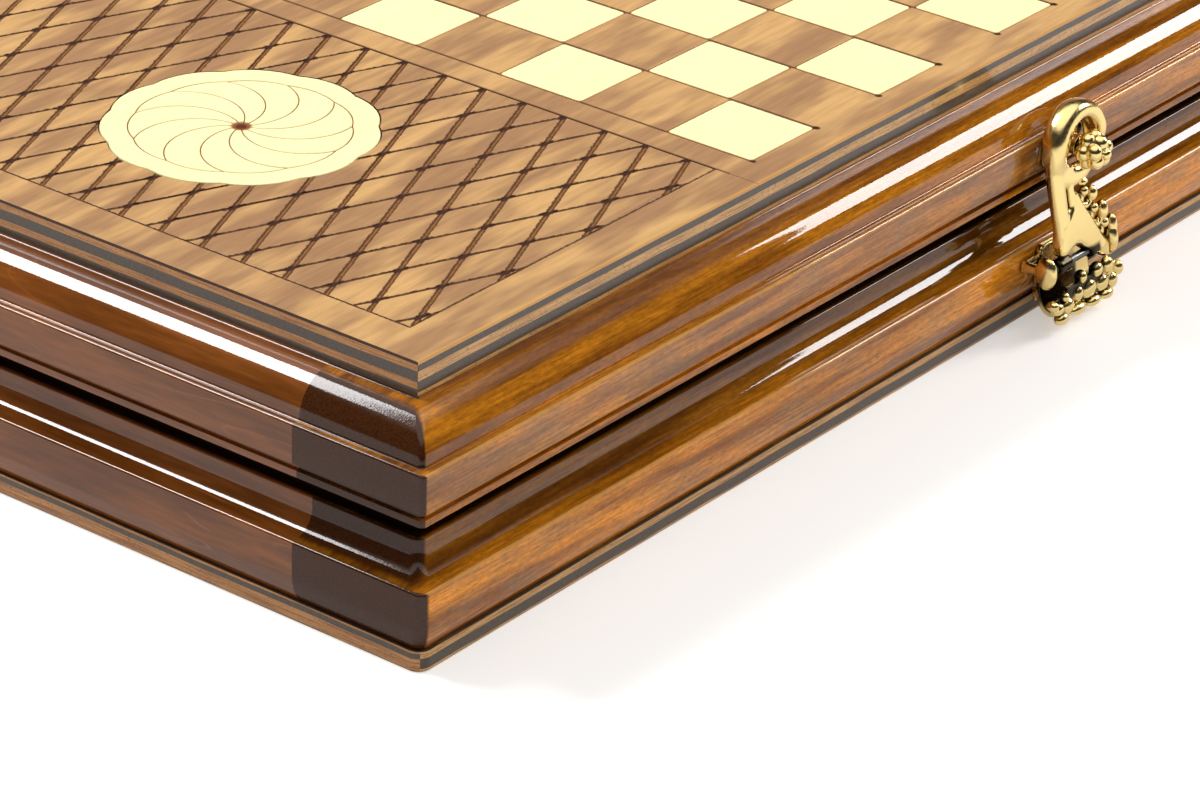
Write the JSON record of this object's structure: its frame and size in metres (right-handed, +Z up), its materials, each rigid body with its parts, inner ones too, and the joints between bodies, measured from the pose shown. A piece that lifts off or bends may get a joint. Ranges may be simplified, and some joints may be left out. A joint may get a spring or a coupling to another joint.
{
  "type": "backgammon board",
  "caption": "Closed folding wooden backgammon and chess case with moulded rails, inlaid veneer lid, hinges and a brass clasp; checkers and dice inside.",
  "frame": {"origin": "middle of the underside of the closed case", "axes": "+X along the hinge side, +Y towards the hinges, -Y towards the clasp, +Z up through the lid"},
  "size_m": [0.5, 0.2686, 0.07],
  "materials": {
    "beech_moulding": "stained beech under gloss varnish",
    "end_moulding": "darker stained beech under gloss varnish",
    "plywood": "varnished plywood edge",
    "walnut_veneer": "walnut veneer, satin varnish",
    "maple_veneer": "pale maple veneer, satin varnish",
    "dark_veneer": "dark stained veneer, satin varnish",
    "antique_brass": "polished cast antique brass",
    "hinge_brass": "brass plated, satin",
    "dark_steel": "darkened steel",
    "light_checker_wood": "turned pale beech, satin",
    "dark_checker_wood": "turned dark stained beech, satin",
    "ivory_plastic": "ivory coloured, glossy"
  },
  "bodies": {
    "base": {"base_front_rail": "beech_moulding", "base_back_rail": "beech_moulding", "base_left_rail": "end_moulding", "base_right_rail": "end_moulding", "base_panel": "plywood", "base_playing_field": "walnut_veneer", "base_light_points": "maple_veneer", "base_dark_points": "dark_veneer", "clasp_base": "antique_brass", "base_hinge_leaves": "hinge_brass", "hinge_pins": "hinge_brass", "base_hinge_screws": "hinge_brass", "clasp_base_screws": "hinge_brass", "clasp_pin": "dark_steel", "light_checkers": "light_checker_wood", "dark_checkers": "dark_checker_wood", "dice": "ivory_plastic"},
    "lid": {"lid_front_rail": "beech_moulding", "lid_back_rail": "beech_moulding", "lid_left_rail": "end_moulding", "lid_right_rail": "end_moulding", "lid_panel": "plywood", "lid_chess_veneer": "walnut_veneer", "chess_light_squares": "maple_veneer", "lid_lattice_veneer_left": "walnut_veneer", "lid_lattice_veneer_right": "walnut_veneer", "medallion_left": "maple_veneer", "medallion_right": "maple_veneer", "lid_playing_field": "walnut_veneer", "lid_light_points": "maple_veneer", "lid_dark_points": "dark_veneer", "lid_hinge_leaves": "hinge_brass", "lid_hinge_screws": "hinge_brass", "clasp_keeper": "antique_brass", "keeper_screws": "hinge_brass"},
    "clasp_arm": {"clasp_arm": "antique_brass"}
  },
  "joints": [
    {"name": "lid_hinge", "type": "hinge", "parent": "base", "child": "lid", "pos_m": [0, 0.1253, 0.035], "axis": [-1, 0, 0], "range_deg": [0, 180]},
    {"name": "clasp_swing", "type": "hinge", "parent": "base", "child": "clasp_arm", "pos_m": [0, -0.1328, 0.017], "axis": [1, 0, 0], "range_deg": [0, 98]}
  ]
}
